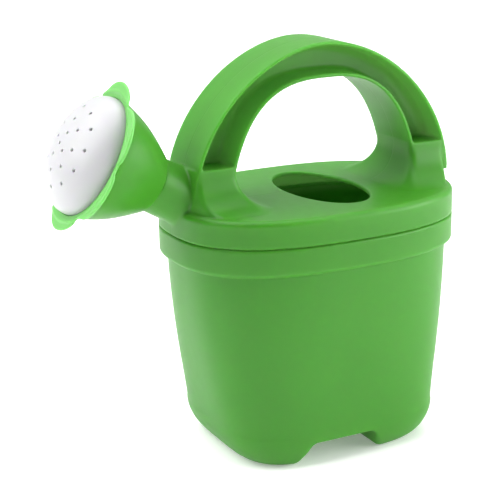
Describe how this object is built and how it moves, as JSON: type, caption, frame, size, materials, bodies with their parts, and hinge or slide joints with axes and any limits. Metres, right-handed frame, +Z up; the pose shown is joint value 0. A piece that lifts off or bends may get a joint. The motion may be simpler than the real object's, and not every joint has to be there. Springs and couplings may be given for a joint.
{
  "type": "watering can",
  "caption": "Child-size plastic watering can: castle-footed oval bucket, lift-off lid with arch handle and spout, flower-shaped rose with domed sprinkler plate.",
  "frame": {"origin": "below the middle of the whole can's length, in its mid plane, on the plane of the feet's soles", "axes": "+Z up, -X towards the spout and rose, the handle's arch lies in the XZ plane"},
  "size_m": [0.182, 0.094, 0.1776],
  "materials": {
    "bucket_green": "satin moulded polyethylene, leaf green",
    "lid_green": "satin moulded polyethylene, leaf green",
    "rose_green": "satin moulded polyethylene, leaf green",
    "petal_green": "thin satin polyethylene, light green and slightly translucent",
    "plate_white": "satin moulded plastic, white"
  },
  "bodies": {
    "bucket": {"bucket_wall": "bucket_green", "bucket_base": "bucket_green"},
    "lid": {"lid_cover": "lid_green", "front_pedestal": "lid_green", "rear_pedestal": "lid_green", "handle_arch": "lid_green", "spout_neck": "lid_green"},
    "rose": {"rose_bell": "rose_green", "rose_petals": "petal_green"},
    "sprinkler": {"rose_plate": "plate_white"}
  },
  "joints": [
    {"name": "lid_lift", "type": "slide", "parent": "bucket", "child": "lid", "axis": [0, 0, 1], "range_m": [0, 0.03]},
    {"name": "rose_turn", "type": "hinge", "parent": "lid", "child": "rose", "pos_m": [-0.0734, 0, 0.1384], "axis": [-0.8729, 0, 0.4879], "continuous": true},
    {"name": "plate_pull", "type": "slide", "parent": "rose", "child": "sprinkler", "axis": [-0.8729, 0, 0.4879], "range_m": [0, 0.012]}
  ]
}
